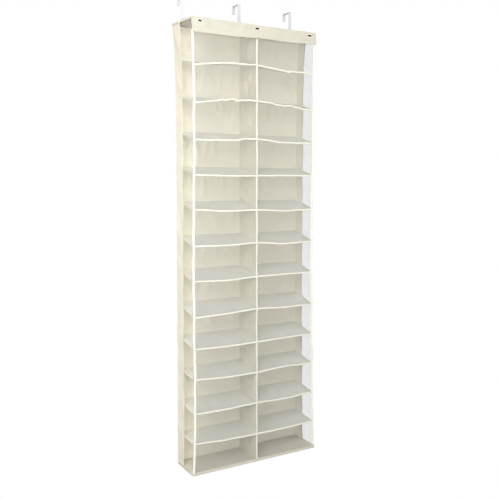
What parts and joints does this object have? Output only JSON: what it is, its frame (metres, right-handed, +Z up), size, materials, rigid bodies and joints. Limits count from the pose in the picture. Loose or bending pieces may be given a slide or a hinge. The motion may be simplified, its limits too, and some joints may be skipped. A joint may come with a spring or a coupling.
{
  "type": "hanging shoe organizer",
  "caption": "Tall fabric shoe tower for the back of a door, with tiers in two columns behind a mesh front, boards in its top and base, and strap hooks.",
  "frame": {"origin": "middle of the underside of the centre hook's bridge, where it rests on the door's top edge", "axes": "+Z up, +X to the right seen from the front, the front faces -Y and the door is at +Y"},
  "size_m": [0.56, 0.1925, 1.828],
  "materials": {
    "strap": "pale powder coat",
    "cap": "black dipped vinyl",
    "cloth": "cream embossed non-woven cloth",
    "netting": "fine white polyester mesh, see-through",
    "tape": "cream folded binding tape",
    "board": "stiff grey-brown board"
  },
  "bodies": {
    "hooks": {"hook_left": "strap", "hook_centre": "strap", "hook_right": "strap", "hook_cap_left": "cap", "hook_cap_centre": "cap", "hook_cap_right": "cap"},
    "top": {"top_cover": "cloth", "top_board": "board", "top_lining": "cloth", "front_band": "cloth", "back_panel": "cloth", "side_strip_left": "cloth", "side_strip_right": "cloth", "mesh_left": "netting", "mesh_right": "netting", "front_tape_left": "tape", "front_tape_centre": "tape", "front_tape_right": "tape", "divider_01": "cloth", "divider_02": "cloth", "divider_03": "cloth", "divider_04": "cloth", "divider_05": "cloth", "divider_06": "cloth", "divider_07": "cloth", "divider_08": "cloth", "divider_09": "cloth", "divider_10": "cloth", "divider_11": "cloth", "divider_12": "cloth", "divider_13": "cloth"},
    "shelf_01": {"shelf_01": "cloth", "shelf_tape_01": "tape"},
    "shelf_02": {"shelf_02": "cloth", "shelf_tape_02": "tape"},
    "shelf_03": {"shelf_03": "cloth", "shelf_tape_03": "tape"},
    "shelf_04": {"shelf_04": "cloth", "shelf_tape_04": "tape"},
    "shelf_05": {"shelf_05": "cloth", "shelf_tape_05": "tape"},
    "shelf_06": {"shelf_06": "cloth", "shelf_tape_06": "tape"},
    "shelf_07": {"shelf_07": "cloth", "shelf_tape_07": "tape"},
    "shelf_08": {"shelf_08": "cloth", "shelf_tape_08": "tape"},
    "shelf_09": {"shelf_09": "cloth", "shelf_tape_09": "tape"},
    "shelf_10": {"shelf_10": "cloth", "shelf_tape_10": "tape"},
    "shelf_11": {"shelf_11": "cloth", "shelf_tape_11": "tape"},
    "shelf_12": {"shelf_12": "cloth", "shelf_tape_12": "tape"},
    "bottom": {"bottom_cover": "cloth", "bottom_board": "board", "bottom_lining": "cloth", "bottom_hem": "cloth"}
  },
  "joints": [
    {"name": "slide_off_hooks", "type": "slide", "parent": "hooks", "child": "top", "axis": [0, -1, 0], "range_m": [0, 0.15]},
    {"name": "fold_up", "type": "slide", "parent": "top", "child": "bottom", "axis": [0, 0, 1], "range_m": [0, 1.4501], "deforming": ["back_panel", "side_strip_left", "side_strip_right", "mesh_left", "mesh_right", "front_tape_left", "front_tape_centre", "front_tape_right", "divider_01", "divider_02", "divider_03", "divider_04", "divider_05", "divider_06", "divider_07", "divider_08", "divider_09", "divider_10", "divider_11", "divider_12", "divider_13"]},
    {"name": "shelf_01_rise", "type": "slide", "parent": "top", "child": "shelf_01", "axis": [0, 0, 1], "range_m": [0, 0.1168]},
    {"name": "shelf_02_rise", "type": "slide", "parent": "top", "child": "shelf_02", "axis": [0, 0, 1], "range_m": [0, 0.2328]},
    {"name": "shelf_03_rise", "type": "slide", "parent": "top", "child": "shelf_03", "axis": [0, 0, 1], "range_m": [0, 0.3484]},
    {"name": "shelf_04_rise", "type": "slide", "parent": "top", "child": "shelf_04", "axis": [0, 0, 1], "range_m": [0, 0.4633]},
    {"name": "shelf_05_rise", "type": "slide", "parent": "top", "child": "shelf_05", "axis": [0, 0, 1], "range_m": [0, 0.5774]},
    {"name": "shelf_06_rise", "type": "slide", "parent": "top", "child": "shelf_06", "axis": [0, 0, 1], "range_m": [0, 0.6906]},
    {"name": "shelf_07_rise", "type": "slide", "parent": "top", "child": "shelf_07", "axis": [0, 0, 1], "range_m": [0, 0.8028]},
    {"name": "shelf_08_rise", "type": "slide", "parent": "top", "child": "shelf_08", "axis": [0, 0, 1], "range_m": [0, 0.914]},
    {"name": "shelf_09_rise", "type": "slide", "parent": "top", "child": "shelf_09", "axis": [0, 0, 1], "range_m": [0, 1.0243]},
    {"name": "shelf_10_rise", "type": "slide", "parent": "top", "child": "shelf_10", "axis": [0, 0, 1], "range_m": [0, 1.1338]},
    {"name": "shelf_11_rise", "type": "slide", "parent": "top", "child": "shelf_11", "axis": [0, 0, 1], "range_m": [0, 1.2426]},
    {"name": "shelf_12_rise", "type": "slide", "parent": "top", "child": "shelf_12", "axis": [0, 0, 1], "range_m": [0, 1.351]}
  ],
  "couplings": [
    {"joint": "shelf_01_rise", "follows": "fold_up", "ratio": 0.08018},
    {"joint": "shelf_02_rise", "follows": "fold_up", "ratio": 0.1602},
    {"joint": "shelf_03_rise", "follows": "fold_up", "ratio": 0.2399},
    {"joint": "shelf_04_rise", "follows": "fold_up", "ratio": 0.31914},
    {"joint": "shelf_05_rise", "follows": "fold_up", "ratio": 0.39783},
    {"joint": "shelf_06_rise", "follows": "fold_up", "ratio": 0.47588},
    {"joint": "shelf_07_rise", "follows": "fold_up", "ratio": 0.55326},
    {"joint": "shelf_08_rise", "follows": "fold_up", "ratio": 0.62995},
    {"joint": "shelf_09_rise", "follows": "fold_up", "ratio": 0.70601},
    {"joint": "shelf_10_rise", "follows": "fold_up", "ratio": 0.78151},
    {"joint": "shelf_11_rise", "follows": "fold_up", "ratio": 0.85656},
    {"joint": "shelf_12_rise", "follows": "fold_up", "ratio": 0.93129}
  ]
}
